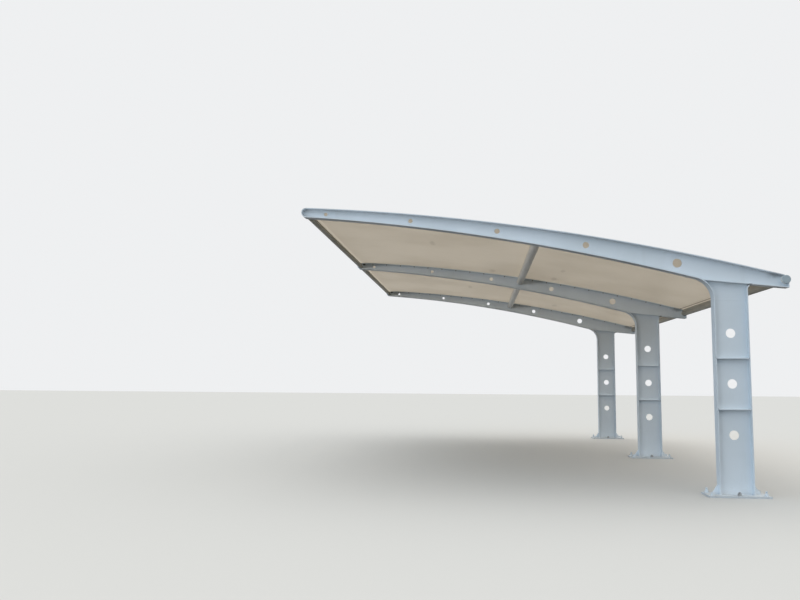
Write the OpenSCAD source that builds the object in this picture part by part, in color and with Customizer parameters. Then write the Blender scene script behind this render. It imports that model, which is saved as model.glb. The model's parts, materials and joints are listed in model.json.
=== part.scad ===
// Canopy with a white steel frame and a stretched membrane roof over two bays.
// Three cantilever frames stand in a row along Y. Each is an H column with a curved, tapering
// I beam on top, and the beam's round nose points to -X. Tubes join the frames lengthwise.
// The origin is the middle of the underside of the middle column's base plate, and +Z is up.

/* [Overall] */
// Distance between two neighbouring frames
bay_l = 4300; // [3600:50:5200]
// Distance from the column's axis to the centre of the beam's round nose
front_reach = 4730; // [3900:10:5700]
// Distance from the column's axis to the back tube's axis
back_reach = 588; // [480:2:720]
// Height of the nose's centre above the underside of the base plates
nose_z = 3143; // [2600:1:3800]

/* [Beam] */
// Radius of the beam's long upper curve
upper_curve_r = 26000; // [21000:500:32000]
// Radius of the beam's long lower curve
lower_curve_r = 24500; // [21000:500:32000]
// Depth of the beam at its round nose
nose_d = 110; // [92:1:132]
// Slope of the upper curve where it leaves the nose, in degrees
top_tilt = 2.86; // [2.4:0.02:3.5]
// Slope of the lower curve where it leaves the nose, in degrees
bottom_tilt = 4.36; // [4:0.02:5.2]
// Thickness of the beam's flanges
beam_flange_t = 10; // [8:1:14]
// Thickness of the beam's web
beam_web_t = 8; // [6:1:12]
// Diameters of the round holes in the beam's web, from the nose to the knee
beam_hole_d = [42, 50, 60, 72, 100]; // [30:1:110]
// Distance between the centres of neighbouring holes
beam_hole_pitch = 990; // [900:10:1100]
// Distance from the column's axis to the last hole's centre
beam_hole_x = 545; // [480:5:640]

/* [Heel] */
// Turn around the knee's bend from its start to the heel plate's upper face, in degrees
heel_turn = 14.6; // [10:0.2:20]
// Gap between the heel plate and the back tube above it
heel_gap = 33; // [20:1:50]
// Length of the heel plate past the back tube's axis
heel_past = 28; // [20:1:36]
// Thickness of the upturned lip that closes the beam's end under the back tube
lip_t = 8; // [6:1:12]

/* [Column] */
// Depth of the column's H section, across the web
column_d = 360; // [300:5:432]
// Width of the flanges of the columns and beams
flange_w = 125; // [110:5:160]
// Thickness of the column's flanges
column_flange_t = 10; // [8:1:14]
// Thickness of the column's web
column_web_t = 8; // [6:1:12]
// Diameter of the round holes in the column's web
column_hole_d = 102; // [80:2:130]
// Height of the lowest column hole's centre
column_hole_z = 645; // [560:5:700]
// Distance between the column holes' centres
column_hole_pitch = 550; // [480:5:580]
// Thickness of the column's stiffener plates
stiffener_t = 8; // [6:1:12]
// Width of the snipes that keep the stiffeners off the column's fillets
stiffener_snipe = 20; // [12:1:30]

/* [Knee] */
// Length of straight flange between the butt joint on the column and the knee's bend
knee_stub = 5; // [4:1:150]
// Outer radius of the front flange where it turns down into the column
knee_r = 240; // [200:5:280]
// Outer radius of the flare at the top of the back flange
flare_r = 50; // [40:2:70]
// Radius of the weld access hole in the web, between the flare and the heel plate
cope_r = 16; // [10:1:24]

/* [Base] */
// Length of the base plate along X
base_l = 640; // [560:10:720]
// Width of the base plate along Y
base_w = 320; // [280:10:400]
// Thickness of the base plate
base_t = 20; // [16:1:30]
// Distance from the plate's edge to the anchor bolts' centres
anchor_edge = 45; // [40:1:55]
// Diameter of the anchor bolt holes
anchor_hole_d = 26; // [22:1:30]
// Width of a gusset at its foot
gusset_w = 70; // [60:5:90]
// Height of a gusset
gusset_h = 100; // [80:5:180]
// Thickness of a gusset
gusset_t = 10; // [8:1:14]
// Width of a gusset's blunt tips
gusset_snipe = 12; // [6:1:20]

/* [Tubes] */
// Diameter of the front tube
front_tube_d = 60; // [48:1:66]
// Gap between the front tube and the lower half of the beam's nose around it
front_tube_gap = 3; // [2:1:12]
// Diameter of the middle tube
middle_tube_d = 108; // [89:1:133]
// Distance from the column's axis to the middle tube's axis
middle_reach = 2050; // [1900:10:2200]
// Gap between the middle tube and the top flange above it
middle_tube_gap = 2; // [1:0.5:6]
// Diameter of the back tube
back_tube_d = 89; // [76:1:108]
// Wall thickness of the tubes
tube_t = 4; // [3:0.5:6]
// Thickness of the discs that close the back tube
cap_t = 6; // [4:1:10]

/* [Membrane] */
// Thickness of the membrane
membrane_t = 2; // [1:0.5:4]
// Distance from a frame's middle plane to the edge of the membrane beside it
membrane_edge = 8; // [4:1:12]
// Width of the clamp strips over the beams
strip_w = 40; // [30:1:48]
// Thickness of the clamp strips
strip_t = 4; // [3:1:6]
// Distance from a frame's middle plane to the middle of a clamp strip
strip_offset = 33; // [30:1:38]

/* [Hidden] */

paint = [0.90, 0.92, 0.94];
cloth = [0.93, 0.90, 0.82];
alloy = [0.75, 0.76, 0.78];

// Places of the frames along Y
near_y = -bay_l;
middle_y = 0;
far_y = bay_l;

// Outlines are drawn in the frame's plane as [x, z]. On a slope of tilt degrees that falls
// towards +X, normal points away from the face and along points down the slope.
function normal(tilt) = [sin(tilt), cos(tilt)];
function along(tilt) = [cos(tilt), -sin(tilt)];
function tilt_of(n) = atan2(n.x, n.y);
function unit(v) = v / norm(v);
// Height of a circle's upper half at x
function arc_z(centre, r, x) = centre.y + sqrt(r * r - (x - centre.x) * (x - centre.x));

long_fn = 720;
round_fn = 180;
// A length that reaches well past any outline of the frame
past = 400;

nose_r = nose_d / 2;
nose = [-front_reach, nose_z];
top_n = normal(top_tilt);
bottom_n = normal(bottom_tilt);
// Centres of the upper curve and of the lower curve, which both run smoothly into the round nose
top_c = nose - (upper_curve_r - nose_r) * top_n;
bottom_c = nose - (lower_curve_r + nose_r) * bottom_n;

// The front tube hangs low inside the round nose
front_tube = nose - [0, nose_r - beam_flange_t - front_tube_gap - front_tube_d / 2];

// The middle tube lies close under the top flange
middle_tube = [-middle_reach, arc_z(top_c, upper_curve_r - beam_flange_t, -middle_reach)
    - middle_tube_gap - middle_tube_d / 2];

// The back tube touches the upper curve from below, at the end of its normal back_n
back_r = back_tube_d / 2;
back_tube = [back_reach, arc_z(top_c, upper_curve_r - back_r, back_reach)];
back_n = unit(back_tube - top_c);
// The top flange ends where its inner face meets the tube, a turn of touch_turn before back_n
touch_turn = acos(1 - beam_flange_t / back_r);
top_end_n = unit(back_tube + back_r * normal(tilt_of(back_n) - touch_turn) - top_c);

// Centre of the bend that turns the lower flange down into the column
knee_x = -column_d / 2 - knee_r;
knee_c = [knee_x, arc_z(bottom_c, lower_curve_r - knee_r, knee_x)];
knee_n = unit(knee_c - bottom_c);
// Height of the butt joint between column and knee
splice_z = knee_c.y - knee_stub;
// Where the inner face of the bend leaves the inner face of the lower flange
knee_start = knee_c + (knee_r + beam_flange_t) * knee_n;

// The straight heel plate's upper face runs from the bend to its place under the back tube
heel_from = knee_c + (knee_r + beam_flange_t) * normal(tilt_of(knee_n) + heel_turn);
heel_to = back_tube - [0, back_r + heel_gap];
heel_tilt = atan2(heel_from.y - heel_to.y, heel_to.x - heel_from.x);
function heel_top_z(x) = heel_to.y + (heel_to.x - x) * tan(heel_tilt);
function heel_z(x) = heel_top_z(x) - beam_flange_t / cos(heel_tilt);
heel_end = back_reach + heel_past;
lip_x = heel_end - lip_t;

// Centre of the flare of the back flange, whose middle radius touches the heel plate
flare_x = column_d / 2 + flare_r;
flare_mid_r = flare_r + beam_flange_t / 2;
flare_c = [flare_x, heel_z(flare_x) - flare_mid_r / cos(heel_tilt)];
// The corner of the web where the flare's inner face meets the heel plate
flare_half = sqrt(pow(flare_r + beam_flange_t, 2) - pow(flare_mid_r, 2));
cope_c = flare_c + flare_mid_r * normal(heel_tilt) - flare_half * along(heel_tilt);

// The column has as many holes as its length holds, and a stiffener between each two
column_holes = 1 + floor((splice_z - column_hole_z - column_hole_d) / column_hole_pitch);

// Middle of the beam's depth at x
function beam_mid_z(x) =
    (arc_z(top_c, upper_curve_r, x) + arc_z(bottom_c, lower_curve_r, x)) / 2;

// Stands a frame outline of thickness w upright, with its middle at y
module upright(w, y) {
    translate([0, y, 0]) rotate([90, 0, 0]) linear_extrude(height = w, center = true)
        children();
}

module disc(centre, r, fn = round_fn) {
    translate(centre) circle(r = r, $fn = fn);
}

module ring(centre, r_in, t, fn = round_fn) {
    difference() {
        disc(centre, r_in + t, fn);
        disc(centre, r_in, fn);
    }
}

// What lies under the upper face of the lower flange and of its bend
module under_beam() {
    intersection() {
        disc(bottom_c, lower_curve_r + beam_flange_t, long_fn);
        polygon([nose + [-past, past], nose - [past, 2 * past], knee_c, knee_start,
            knee_start + past * knee_n]);
    }
    disc(knee_c, knee_r + beam_flange_t);
}

// A plate of width w that follows a long curve between two of its normals
module long_plate(centre, r_in, t, w, y, n_from, n_to) {
    a_from = atan2(n_from.y, n_from.x);
    a_to = atan2(n_to.y, n_to.x);
    translate([centre.x, y, centre.y]) rotate([90, 0, 0])
        rotate_extrude(angle = a_to - a_from, start = a_from, $fn = long_fn)
            translate([r_in, -w / 2]) square([t, w]);
}

module base_plate(y) {
    anchor_x = base_l / 2 - anchor_edge;
    anchor_y = base_w / 2 - anchor_edge;
    color(paint) translate([0, y, 0]) difference() {
        translate([-base_l / 2, -base_w / 2, 0]) cube([base_l, base_w, base_t]);
        for (x = [-anchor_x, 0, anchor_x], side = [-1, 1])
            translate([x, side * anchor_y, -1])
                cylinder(d = anchor_hole_d, h = base_t + 2, $fn = round_fn);
    }
}

module base_gussets(y) {
    color(paint) for (side = [-1, 1]) upright(gusset_t, y) polygon([
        [side * column_d / 2, base_t],
        [side * (column_d / 2 + gusset_w), base_t],
        [side * (column_d / 2 + gusset_w), base_t + gusset_snipe],
        [side * (column_d / 2 + gusset_snipe), base_t + gusset_h],
        [side * column_d / 2, base_t + gusset_h]
    ]);
}

module column(y) {
    column_h = splice_z - base_t;
    color(paint) {
        for (side = [-1, 1])
            translate([side * (column_d - column_flange_t) / 2, y, base_t + column_h / 2])
                cube([column_flange_t, flange_w, column_h], center = true);
        upright(column_web_t, y) difference() {
            translate([-column_d / 2 + column_flange_t / 2, base_t])
                square([column_d - column_flange_t, column_h]);
            for (i = [0 : column_holes - 1])
                disc([0, column_hole_z + i * column_hole_pitch], column_hole_d / 2);
        }
    }
}

module column_stiffeners(y) {
    inner = column_d / 2 - column_flange_t;
    depth = (flange_w - column_web_t) / 2;
    snipe = stiffener_snipe;
    color(paint) for (i = [0 : column_holes - 2], side = [-1, 1])
        translate([0, y + side * column_web_t / 2,
                column_hole_z + (i + 0.5) * column_hole_pitch - stiffener_t / 2])
            linear_extrude(height = stiffener_t) polygon([
                [-inner + snipe, 0], [inner - snipe, 0], [inner, side * snipe],
                [inner, side * depth], [-inner, side * depth], [-inner, side * snipe]
            ]);
}

// The stub on top of the column: its web, the front flange that bends up into the beam's lower
// flange, and the back flange that flares out under the heel plate
module knee(y) {
    front_x = -column_d / 2;
    back_x = column_d / 2;
    color(paint) {
        upright(column_web_t, y) difference() {
            polygon([
                [front_x + beam_flange_t / 2, splice_z], [back_x - beam_flange_t / 2, splice_z],
                [back_x - beam_flange_t / 2, flare_c.y], [flare_x, flare_c.y],
                [flare_x, heel_z(flare_x)], [knee_x, heel_z(knee_x)],
                [knee_x, knee_c.y], [front_x + beam_flange_t / 2, knee_c.y]
            ]);
            disc(knee_c, knee_r + beam_flange_t / 2);
            disc(flare_c, flare_mid_r);
            disc(cope_c, cope_r);
        }
        upright(flange_w, y) {
            polygon([[front_x, splice_z], [front_x + beam_flange_t, splice_z],
                [front_x + beam_flange_t, knee_c.y], [front_x, knee_c.y]]);
            intersection() {
                ring(knee_c, knee_r, beam_flange_t);
                polygon([knee_c, knee_c + [2 * past, 0], knee_c + [2 * past, 2 * past],
                    knee_c + 2 * past * knee_n]);
            }
            polygon([[back_x - beam_flange_t, splice_z], [back_x, splice_z],
                [back_x, flare_c.y], [back_x - beam_flange_t, flare_c.y]]);
            intersection() {
                ring(flare_c, flare_r, beam_flange_t);
                polygon([flare_c, flare_c - [past, 0], [back_x - past, heel_z(back_x - past)],
                    [flare_x, heel_z(flare_x)]]);
            }
        }
    }
}

// The web fills the beam from its nose to the lip under the back tube
module beam_web(y) {
    color(paint) upright(beam_web_t, y) difference() {
        union() {
            disc(nose, nose_r - beam_flange_t);
            intersection() {
                disc(top_c, upper_curve_r - beam_flange_t, long_fn);
                polygon([nose, nose + past * top_n, [back_reach, nose_z + past], back_tube,
                    [lip_x, back_tube.y], [lip_x, heel_top_z(lip_x)],
                    [knee_x, heel_top_z(knee_x)], nose - past * bottom_n]);
            }
        }
        under_beam();
        disc(back_tube, back_r);
        for (i = [0 : len(beam_hole_d) - 1]) {
            x = -beam_hole_x - (len(beam_hole_d) - 1 - i) * beam_hole_pitch;
            disc([x, beam_mid_z(x)], beam_hole_d[i] / 2);
        }
    }
}

// The half-round strip that closes the beam's tip between its flanges
module beam_nose(y) {
    color(paint) upright(flange_w, y) intersection() {
        ring(nose, nose_r - beam_flange_t, beam_flange_t);
        polygon([nose, nose + past * top_n, nose + [-past, past], nose + [-past, -past],
            nose - past * bottom_n]);
    }
}

module beam_top_flange(y) {
    color(paint) long_plate(top_c, upper_curve_r - beam_flange_t, beam_flange_t, flange_w, y,
        top_end_n, top_n);
}

// The lower flange, from the nose to the knee's bend
module beam_bottom_flange(y) {
    color(paint)
        long_plate(bottom_c, lower_curve_r, beam_flange_t, flange_w, y, knee_n, bottom_n);
}

// The straight plate under the beam from the knee's bend on, with its lip cut to fit the tube
module heel_plate(y) {
    color(paint) upright(flange_w, y) difference() {
        polygon([
            [knee_x, heel_z(knee_x)], [heel_end, heel_z(heel_end)], [heel_end, back_tube.y],
            [lip_x, back_tube.y], [lip_x, heel_top_z(lip_x)], [knee_x, heel_top_z(knee_x)]
        ]);
        under_beam();
        disc(back_tube, back_r);
    }
}

// Flat bars that hold the membrane's edges down on the top flange, on the given sides of the web
module clamp_strip(y, sides) {
    color(alloy) for (side = sides)
        long_plate(top_c, upper_curve_r + membrane_t, strip_t, strip_w, y + side * strip_offset,
            back_n, top_n);
}

// A tube along Y between two places
module tube(centre, d, y0, y1) {
    color(paint) translate([centre.x, y0, centre.y]) rotate([-90, 0, 0]) difference() {
        cylinder(d = d, h = y1 - y0, $fn = round_fn);
        translate([0, 0, -1]) cylinder(d = d - 2 * tube_t, h = y1 - y0 + 2, $fn = round_fn);
    }
}

// The front and middle tubes stand between the webs of two frames
module web_to_web(centre, d, y0, y1) {
    tube(centre, d, y0 + beam_web_t / 2, y1 - beam_web_t / 2);
}

module front_tube(y0, y1) {
    web_to_web(front_tube, front_tube_d, y0, y1);
}

module middle_tube(y0, y1) {
    web_to_web(middle_tube, middle_tube_d, y0, y1);
}

// The back tube runs past the outer frames as far as their flanges do
module near_back_tube() {
    tube(back_tube, back_tube_d, near_y - flange_w / 2, middle_y);
}

module far_back_tube() {
    tube(back_tube, back_tube_d, middle_y, far_y + flange_w / 2);
}

module tube_cap(y) {
    color(paint) translate([back_tube.x, y, back_tube.y]) rotate([-90, 0, 0])
        cylinder(d = back_tube_d, h = cap_t, $fn = round_fn);
}

// The membrane over the bay between two frames, from its hem over the nose to its hem over the
// back tube
module membrane(y0, y1) {
    color(cloth) upright(y1 - y0 - 2 * membrane_edge, (y0 + y1) / 2) {
        intersection() {
            ring(top_c, upper_curve_r, membrane_t, long_fn);
            polygon([nose, nose + past * top_n, [back_reach, nose_z + past],
                back_tube + past * back_n, back_tube]);
        }
        intersection() {
            ring(nose, nose_r, membrane_t);
            polygon([nose, nose + past * top_n, nose + [-past, past], nose + [-past, 0]]);
        }
        intersection() {
            ring(back_tube, back_r, membrane_t);
            polygon([back_tube, back_tube + past * back_n, back_tube + [past, past],
                back_tube + [past, 0]]);
        }
    }
}

base_plate(near_y);  // near_base_plate
base_gussets(near_y);  // near_base_gussets
column(near_y);  // near_column
column_stiffeners(near_y);  // near_column_stiffeners
knee(near_y);  // near_knee
beam_web(near_y);  // near_beam_web
beam_nose(near_y);  // near_beam_nose
beam_top_flange(near_y);  // near_beam_top_flange
beam_bottom_flange(near_y);  // near_beam_bottom_flange
heel_plate(near_y);  // near_heel_plate
clamp_strip(near_y, [1]);  // near_clamp_strip
base_plate(middle_y);  // middle_base_plate
base_gussets(middle_y);  // middle_base_gussets
column(middle_y);  // middle_column
column_stiffeners(middle_y);  // middle_column_stiffeners
knee(middle_y);  // middle_knee
beam_web(middle_y);  // middle_beam_web
beam_nose(middle_y);  // middle_beam_nose
beam_top_flange(middle_y);  // middle_beam_top_flange
beam_bottom_flange(middle_y);  // middle_beam_bottom_flange
heel_plate(middle_y);  // middle_heel_plate
clamp_strip(middle_y, [-1, 1]);  // middle_clamp_strip
base_plate(far_y);  // far_base_plate
base_gussets(far_y);  // far_base_gussets
column(far_y);  // far_column
column_stiffeners(far_y);  // far_column_stiffeners
knee(far_y);  // far_knee
beam_web(far_y);  // far_beam_web
beam_nose(far_y);  // far_beam_nose
beam_top_flange(far_y);  // far_beam_top_flange
beam_bottom_flange(far_y);  // far_beam_bottom_flange
heel_plate(far_y);  // far_heel_plate
clamp_strip(far_y, [-1]);  // far_clamp_strip
front_tube(near_y, middle_y);  // near_front_tube
middle_tube(near_y, middle_y);  // near_middle_tube
near_back_tube();
tube_cap(near_y - flange_w / 2 - cap_t);  // near_tube_cap
front_tube(middle_y, far_y);  // far_front_tube
middle_tube(middle_y, far_y);  // far_middle_tube
far_back_tube();
tube_cap(far_y + flange_w / 2);  // far_tube_cap
membrane(near_y, middle_y);  // near_membrane
membrane(middle_y, far_y);  // far_membrane
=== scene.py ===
"""Dresses the steel frame of a filling station canopy and stretches its membrane roof.

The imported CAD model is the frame: three cantilevers in a row along Y, joined by tubes. This
script paints it and adds what the solids leave out: the membrane with its sleeves, the clamp
and anchor bolts, and the welds. All lengths are in metres and all angles in degrees, unless a
name says otherwise. An outline point is a pair of x and z in the plane of a frame.
"""
import json
import logging
import random
from collections.abc import Callable, Iterable, Sequence
from dataclasses import dataclass
from enum import Enum
from functools import cached_property
from math import acos, asin, atan2, cos, degrees, hypot, pi, radians, sin, tan

import bmesh
import bpy
import numpy as np
from mathutils import Matrix, Vector


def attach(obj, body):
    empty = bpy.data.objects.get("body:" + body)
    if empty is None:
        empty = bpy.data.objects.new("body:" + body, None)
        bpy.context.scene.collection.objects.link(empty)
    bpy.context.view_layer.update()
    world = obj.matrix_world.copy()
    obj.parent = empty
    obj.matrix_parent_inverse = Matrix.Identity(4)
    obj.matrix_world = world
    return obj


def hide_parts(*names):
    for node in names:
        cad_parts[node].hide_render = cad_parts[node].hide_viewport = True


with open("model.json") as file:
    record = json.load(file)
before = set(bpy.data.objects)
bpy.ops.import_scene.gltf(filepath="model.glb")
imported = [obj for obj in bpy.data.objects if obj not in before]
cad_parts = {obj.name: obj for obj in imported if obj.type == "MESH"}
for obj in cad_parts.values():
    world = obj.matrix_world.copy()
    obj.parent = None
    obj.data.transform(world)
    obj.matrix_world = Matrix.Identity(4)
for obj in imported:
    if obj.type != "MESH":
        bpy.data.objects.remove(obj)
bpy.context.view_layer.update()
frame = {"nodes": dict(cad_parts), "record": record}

log = logging.getLogger("canopy")

Point = tuple[float, float]
Place = tuple[float, float, float]
Colour = tuple[float, float, float]
Socket = bpy.types.NodeSocket
Feed = Socket | float | Sequence[float]
BODY = "root"
BAY = 4.3
TINY = 1e-6


class Row(Enum):
    """The three frames by their place along Y."""

    NEAR = -BAY
    MIDDLE = 0.0
    FAR = BAY

    @property
    def label(self) -> str:
        """The frame's prefix in the names of its nodes."""
        return self.name.lower()


class Bay(Enum):
    """The two bays by the frames on their two sides."""

    NEAR = (Row.NEAR, Row.MIDDLE)
    FAR = (Row.MIDDLE, Row.FAR)

    @property
    def label(self) -> str:
        """The bay's prefix in the names of its nodes."""
        return self.name.lower()


class Slot(Enum):
    """The record's material slots."""

    BASE = "base_paint"
    COLUMN = "column_paint"
    BEAM = "beam_paint"
    TUBE = "tube_paint"
    CLAMP = "clamp_strip"
    MEMBRANE = "membrane"


# Outline of a frame


def unit(tilt: float) -> Point:
    """The normal of a slope that falls by tilt degrees towards +X."""
    return sin(radians(tilt)), cos(radians(tilt))


def step_from(start: Point, direction: Point, length: float) -> Point:
    """The point that lies a length from start in a direction."""
    return start[0] + direction[0] * length, start[1] + direction[1] * length


def between(start: Point, end: Point, steps: int) -> list[Point]:
    """Evenly spaced points of a straight run, both ends included."""
    return [(start[0] + (end[0] - start[0]) * i / steps,
             start[1] + (end[1] - start[1]) * i / steps) for i in range(steps + 1)]


def arc(centre: Point, radius: float, start: float, end: float, pitch: float) -> list[Point]:
    """Points on a circle.

    Args:
        centre: The circle's centre.
        radius: The circle's radius.
        start: Angle of the first point above +X.
        end: Angle of the last point.
        pitch: Greatest distance between two points along the circle.

    Returns:
        The points, both ends included.
    """
    count = max(2, round(radians(abs(end - start)) * radius / pitch) + 1)
    return [step_from(centre, (cos(a), sin(a)), radius)
            for a in np.radians(np.linspace(start, end, count))]


def arc_height(centre: Point, radius: float, x: float) -> float:
    """Height of a circle's upper half at x."""
    return centre[1] + (radius ** 2 - (x - centre[0]) ** 2) ** 0.5


@dataclass(frozen=True)
class Outline:
    """Sizes of the steel frame, as the CAD source has them, and the lines that follow."""

    nose: Point = (-4.730, 3.143)
    nose_r: float = 0.055
    upper_r: float = 26.0
    lower_r: float = 24.5
    top_tilt: float = 2.86
    bottom_tilt: float = 4.36
    flange_t: float = 0.010
    flange_w: float = 0.125
    web_t: float = 0.008
    column_d: float = 0.360
    column_t: float = 0.010
    knee_r: float = 0.240
    knee_stub: float = 0.005
    heel_turn: float = 14.6
    heel_gap: float = 0.033
    heel_past: float = 0.028
    lip_t: float = 0.008
    back_x: float = 0.588
    back_r: float = 0.0445
    middle_x: float = -2.050
    middle_r: float = 0.054
    middle_gap: float = 0.002
    front_r: float = 0.030
    front_gap: float = 0.003

    @cached_property
    def top_c(self) -> Point:
        """Centre of the beam's upper curve."""
        return step_from(self.nose, unit(self.top_tilt), self.nose_r - self.upper_r)

    @cached_property
    def bottom_c(self) -> Point:
        """Centre of the beam's lower curve."""
        return step_from(self.nose, unit(self.bottom_tilt), -self.nose_r - self.lower_r)

    @cached_property
    def front_tube(self) -> Point:
        """Axis of the front tube."""
        drop = self.nose_r - self.flange_t - self.front_gap - self.front_r
        return self.nose[0], self.nose[1] - drop

    @cached_property
    def middle_tube(self) -> Point:
        """Axis of the middle tube."""
        under = arc_height(self.top_c, self.upper_r - self.flange_t, self.middle_x)
        return self.middle_x, under - self.middle_gap - self.middle_r

    @cached_property
    def back_tube(self) -> Point:
        """Axis of the back tube."""
        return self.back_x, arc_height(self.top_c, self.upper_r - self.back_r, self.back_x)

    @cached_property
    def back_tilt(self) -> float:
        """Slope of the upper curve over the back tube."""
        return self.tilt_at(self.back_tube)

    @cached_property
    def length(self) -> float:
        """Length of the upper curve from the nose to the back tube."""
        return radians(self.back_tilt - self.top_tilt) * self.upper_r

    @cached_property
    def knee_c(self) -> Point:
        """Centre of the bend at the knee."""
        x = -self.column_d / 2 - self.knee_r
        return x, arc_height(self.bottom_c, self.lower_r - self.knee_r, x)

    @cached_property
    def knee_tilt(self) -> float:
        """Slope of the lower curve where the knee's bend takes over."""
        return degrees(atan2(self.knee_c[0] - self.bottom_c[0], self.knee_c[1] - self.bottom_c[1]))

    @cached_property
    def splice_z(self) -> float:
        """Height of the butt joint between column and knee."""
        return self.knee_c[1] - self.knee_stub

    @cached_property
    def heel_from(self) -> Point:
        """Where the heel plate's upper face leaves the knee's bend."""
        return step_from(self.knee_c, unit(self.knee_tilt + self.heel_turn),
                         self.knee_r + self.flange_t)

    @cached_property
    def heel_tilt(self) -> float:
        """Slope of the heel plate."""
        to_z = self.back_tube[1] - self.back_r - self.heel_gap
        return degrees(atan2(self.heel_from[1] - to_z, self.back_x - self.heel_from[0]))

    def heel_top(self, x: float) -> float:
        """Height of the heel plate's upper face."""
        return self.heel_from[1] - (x - self.heel_from[0]) * tan(radians(self.heel_tilt))

    def tilt_at(self, point: Point) -> float:
        """Slope of the upper curve over or under a point."""
        return degrees(atan2(point[0] - self.top_c[0], point[1] - self.top_c[1]))

    def tilt(self, along: float) -> float:
        """Slope of the upper curve at a distance from the nose."""
        return self.top_tilt + degrees(along / self.upper_r)

    def top(self, along: float, off: float = 0.0) -> Point:
        """The point of the upper curve at a distance from the nose, lifted off the curve."""
        return step_from(self.top_c, unit(self.tilt(along)), self.upper_r + off)


LINE = Outline()


# Node trees


class Graph:
    """Adds nodes to a node tree and wires them."""

    def __init__(self, tree: bpy.types.NodeTree) -> None:
        """Takes the tree that grows."""
        self.tree = tree

    def node(self, kind: str, inputs: dict[str | int, Feed] | None = None,
             **settings: object) -> bpy.types.Node:
        """Adds a node.

        Args:
            kind: The node's type name after "ShaderNode", or a full type name.
            inputs: Values or sockets for its inputs, by name or number.
            **settings: The node's own properties.

        Returns:
            The node.
        """
        full = kind if kind.startswith("Node") else "ShaderNode" + kind
        node = self.tree.nodes.new(full)
        for key, value in settings.items():
            setattr(node, key, value)
        for key, value in (inputs or {}).items():
            self.feed(node.inputs[key], value)
        return node

    def feed(self, socket: Socket, value: Feed) -> None:
        """Links a socket to another one, or sets its value.

        Args:
            socket: The input.
            value: The socket that it takes its value from, or the value.
        """
        if isinstance(value, bpy.types.NodeSocket):
            self.tree.links.new(value, socket)
        else:
            socket.default_value = value

    def math(self, operation: str, a: Feed, b: Feed = 0.0, clamp: bool = False) -> Socket:
        """The result of one Math node."""
        return self.node("Math", {0: a, 1: b}, operation=operation, use_clamp=clamp).outputs[0]

    def product(self, first: Feed, *factors: Feed) -> Socket:
        """Multiplies values.

        Args:
            first: The first value.
            *factors: The others.

        Returns:
            Their product.
        """
        for factor in factors:
            first = self.math("MULTIPLY", first, factor)
        return first

    def ease(self, value: Feed, low: float, high: float, start: float = 0.0,
             end: float = 1.0) -> Socket:
        """A smooth step of value from low to high, given out from start to end."""
        return self.node("MapRange", {0: value, 1: low, 2: high, 3: start, 4: end},
                         interpolation_type="SMOOTHSTEP").outputs[0]

    def tint(self, mask: Feed, under: Feed, over: Feed) -> Socket:
        """Lays one colour over another.

        Args:
            mask: 1 where the upper colour covers the lower one.
            under: The lower colour.
            over: The upper colour.

        Returns:
            The mixed colour.
        """
        mix = self.node("Mix", data_type="RGBA", clamp_factor=True)
        for number, value in ((0, mask), (6, under), (7, over)):
            self.feed(mix.inputs[number], value)
        return mix.outputs[2]

    def place(self, scale: Place = (1, 1, 1)) -> Socket:
        """Object coordinates, stretched."""
        return self.node("Mapping", {"Vector": self.node("TexCoord").outputs["Object"],
                                     "Scale": scale}).outputs[0]

    def noise(self, vector: Socket, scale: Feed, detail: float = 2.0, rough: float = 0.5
              ) -> Socket:
        """A Noise Texture's value."""
        return self.node("TexNoise", {"Vector": vector, "Scale": scale, "Detail": detail,
                                      "Roughness": rough}).outputs[0]

    def steepness(self) -> Socket:
        """Height of the surface's normal: 1 on a face that looks up, 0 on an upright one."""
        return self.node("SeparateXYZ", {0: self.node("NewGeometry").outputs["Normal"]}).outputs[2]

    def use(self, effect: "Effect", **values: Feed) -> Socket:
        """Places a shared effect.

        Args:
            effect: The effect.
            **values: Its inputs in this material.

        Returns:
            The effect's output.
        """
        node = self.node("Group")
        node.node_tree = effect.tree
        for name, value in values.items():
            self.feed(node.inputs[name], value)
        return node.outputs[0]

    def roughen(self, rough: Socket, mask: Socket, share: float) -> Socket:
        """Adds a share of a mask to a roughness."""
        return self.math("ADD", rough, self.product(mask, share), clamp=True)

    def surface(self, shader: bpy.types.Node, colour: Socket, rough: Socket,
                height: Socket) -> Socket:
        """Gives a Principled shader what changes over the surface.

        Args:
            shader: The shader.
            colour: Its base colour.
            rough: Its roughness.
            height: Its relief, in metres.

        Returns:
            The normal of the relief.
        """
        relief = self.node("Bump", {"Strength": 1.0, "Distance": 1.0, "Height": height})
        for name, value in (("Base Color", colour), ("Roughness", rough),
                            ("Normal", relief.outputs[0])):
            self.feed(shader.inputs[name], value)
        return relief.outputs[0]


class Effect:
    """A shader node group that several finishes share."""

    def __init__(self, name: str, inputs: dict[str, float | Place],
                 body: Callable[[Graph, dict[str, Socket]], Socket]) -> None:
        """Builds the group.

        Args:
            name: The group's name, also of its output.
            inputs: Names of the inputs with their usual values.
            body: Wires the group and returns the socket to put out.
        """
        self.tree = bpy.data.node_groups.new(name, "ShaderNodeTree")
        for key, value in inputs.items():
            kind = "NodeSocketVector" if isinstance(value, tuple) else "NodeSocketFloat"
            socket = self.tree.interface.new_socket(key, in_out="INPUT", socket_type=kind)
            socket.default_value = value
        self.tree.interface.new_socket(name, in_out="OUTPUT", socket_type="NodeSocketFloat")
        graph = Graph(self.tree)
        given = graph.node("NodeGroupInput")
        result = body(graph, {key: given.outputs[key] for key in inputs})
        graph.node("NodeGroupOutput", {0: result})


def patches(graph: Graph, given: dict[str, Socket]) -> Socket:
    """Soft clouds, between 0 and 1."""
    return graph.ease(graph.noise(graph.place(), given["scale"], 5.0, 0.6), 0.35, 0.68)


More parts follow.
